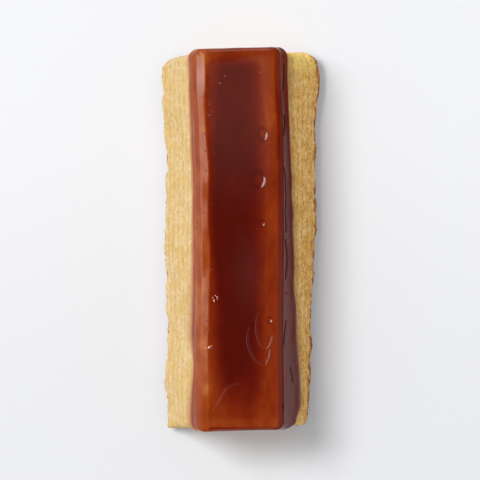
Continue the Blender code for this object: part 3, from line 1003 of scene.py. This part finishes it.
def make_crumbs(material, random):
    """Loose crumbs stuck to the cut faces, brown ones along the crust."""
    draw = random.uniform(0, 1, CRUMBS)
    right = draw < CRUMB_ON_RIGHT
    left = ~right & (draw < CRUMB_ON_RIGHT + CRUMB_ON_LEFT)
    along_end = random.uniform(-CRUMB_REACH_ACROSS, CRUMB_REACH_ACROSS, CRUMBS)
    across = np.where(right, 1.0, np.where(left, -1.0, along_end))
    along_side = random.uniform(-CRUMB_REACH_ALONG, CRUMB_REACH_ALONG, CRUMBS)
    along = np.where(right | left, along_side, random.choice((-1.0, 1.0), CRUMBS))
    highest = caramel_run(across, along) + CRUMB_BELOW_LIP
    depth = blend(highest, CRUMB_LOWEST, random.uniform(0, 1, CRUMBS) ** CRUMB_SPREAD)
    sizes = blend(*CRUMB_SIZES, random.uniform(0, 1, CRUMBS) ** 2)
    centres = cake_points(across, along, depth)
    points, triangles, numbers = small_balls(centres, sizes, CRUMB_DETAIL, CRUMB_JITTER, CRUMB_SQUASH, random)
    browned = (depth > BROWNED_FROM) & (random.uniform(0, 1, CRUMBS) < BROWNED_SHARE)
    # crumbs on the right share the right face's painted shade
    side_shade_and_corner_light = (across + 1) / 2 * random.uniform(*CRUMB_SIDE_SHADE, CRUMBS)
    values = {
        "layer": np.where(browned, LAYERS, CRUMB_LAYER)[numbers],
        "side_shade_and_corner_light": side_shade_and_corner_light[numbers],
        "under_lip_darkening": np.zeros(len(points)),
    }
    piece = add_piece("crumbs", within(points, "cake"), triangles, values, material)


FLOOR_HALF_SIZE = 4.0
FLOOR_DROP = 0.05 * MM
FLOOR_NEAR, FLOOR_FAR = 0.93, 1.02
FLOOR_WHITE = (0.560, 0.565, 0.580, 1)
FLOOR_GLOW = (0.156, 0.160, 0.168, 1)


def make_floor():
    """A pale floor, lighter towards the far side, with a faint glow of its own that softens the shadow."""
    corners = np.array([(-1, -1, 0), (1, -1, 0), (1, 1, 0), (-1, 1, 0)]) * FLOOR_HALF_SIZE
    mesh = bpy.data.meshes.new("floor")
    mesh.from_pydata((corners - (0, 0, FLOOR_DROP)).tolist(), [], [(0, 1, 2, 3)])
    floor = bpy.data.objects.new("floor", mesh)
    bpy.context.scene.collection.objects.link(floor)
    nodes = Nodes("floor")
    split = nodes.add("ShaderNodeSeparateXYZ", Vector=nodes.place((1, 1, 1)))
    shade = nodes.span(split.outputs["Y"], -FRAME_WIDTH / 2, FRAME_WIDTH / 2, FLOOR_NEAR, FLOOR_FAR)
    nodes.put(nodes.shader, "Base Color", nodes.mix(shade, (0, 0, 0, 1), FLOOR_WHITE))
    nodes.put(nodes.shader, "Emission Color", FLOOR_GLOW)
    nodes.put(nodes.shader, "Emission Strength", shade)
    nodes.put(nodes.shader, "Roughness", 0.9)
    nodes.put(nodes.shader, "Specular IOR Level", 0.0)
    mesh.materials.append(nodes.material)


# Lamps, as (azimuth from +X towards +Y, elevation, width, height, power)
LAMP_DISTANCE = 3.0
LAMPS = {
    "key": (152, 60, 1.05, 1.05, 92),
    "fill": (0, 90, 2.5, 2.5, 18),
}

# Pale panels that show only as reflections, in the same way
PANELS = {
    "left_high": (177, 60, 2.4, 0.72, 49),
    "left": (180, 24, 2.2, 0.8, 6),
    "right": (0, 26, 2.2, 0.8, 8),
    "near": (270, 26, 2.2, 0.8, 8),
    "far": (90, 26, 2.2, 0.8, 8),
}
STUDIO_WHITE = (0.99, 0.99, 1.0, 1)
STUDIO_TONES = ((0.60, 0.60), (0.84, 0.03))  # (height, glow) from the walls to overhead


def make_lamp(name, azimuth, elevation, width, height, power):
    light = bpy.data.lights.new(name, "AREA")
    light.shape = "RECTANGLE"
    light.size = height
    light.size_y = width
    light.energy = power
    lamp = bpy.data.objects.new(name, light)
    lamp.rotation_euler = (0, math.radians(90 - elevation), math.radians(azimuth))
    lamp.location = lamp.rotation_euler.to_matrix() @ Vector((0, 0, LAMP_DISTANCE))
    lamp.visible_camera = False
    bpy.context.scene.collection.objects.link(lamp)
    return lamp


def make_lamps():
    """Lamps that light without showing in the gloss, and panels that show there without lighting."""
    for name, lamp in LAMPS.items():
        make_lamp(name, *lamp).visible_glossy = False
    for name, panel in PANELS.items():
        make_lamp(name, *panel).visible_diffuse = False


def make_studio():
    """Bright walls all round and a dim ceiling."""
    world = bpy.data.worlds.new("studio")
    world.use_nodes = True
    tree = world.node_tree
    towards = tree.nodes.new("ShaderNodeTexCoord").outputs["Generated"]
    split = tree.nodes.new("ShaderNodeSeparateXYZ")
    tree.links.new(towards, split.inputs[0])
    tone = tree.nodes.new("ShaderNodeMapRange")
    (wall_top, wall_glow), (ceiling, ceiling_glow) = STUDIO_TONES
    tree.links.new(split.outputs["Z"], tone.inputs["Value"])
    tone.interpolation_type = "SMOOTHSTEP"
    tone.inputs["From Min"].default_value = wall_top
    tone.inputs["From Max"].default_value = ceiling
    tone.inputs["To Min"].default_value = wall_glow
    tone.inputs["To Max"].default_value = ceiling_glow
    tree.links.new(tone.outputs["Result"], tree.nodes["Background"].inputs["Strength"])
    tree.nodes["Background"].inputs["Color"].default_value = STUDIO_WHITE
    bpy.context.scene.world = world


def make_camera():
    camera = bpy.data.cameras.new("camera")
    camera.sensor_width = SENSOR
    camera.lens = SENSOR * CAMERA_DISTANCE / FRAME_WIDTH
    camera.clip_start = 0.05
    camera.clip_end = 20.0
    holder = bpy.data.objects.new("camera", camera)
    holder.location = (CAMERA_X, CAMERA_Y, CAMERA_DISTANCE)
    bpy.context.scene.collection.objects.link(holder)
    bpy.context.scene.camera = holder
    bpy.context.scene.view_settings.view_transform = "Standard"


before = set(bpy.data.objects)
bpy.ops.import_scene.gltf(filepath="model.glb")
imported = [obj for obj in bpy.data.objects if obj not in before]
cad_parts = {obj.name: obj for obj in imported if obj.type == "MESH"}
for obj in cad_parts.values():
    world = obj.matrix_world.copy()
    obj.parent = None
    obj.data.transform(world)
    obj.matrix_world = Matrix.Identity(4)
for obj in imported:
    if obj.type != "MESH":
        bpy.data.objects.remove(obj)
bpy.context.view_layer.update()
random = np.random.default_rng(SEED)
crumb = crumb_material()
caramel = caramel_material()
make_cake(crumb)
make_crumbs(crumb, random)
skin = make_caramel(caramel)
make_bubbles(skin, caramel, random)
make_froth(skin, caramel, random)
make_threads(skin, caramel)
make_floor()
make_lamps()
make_studio()
make_camera()
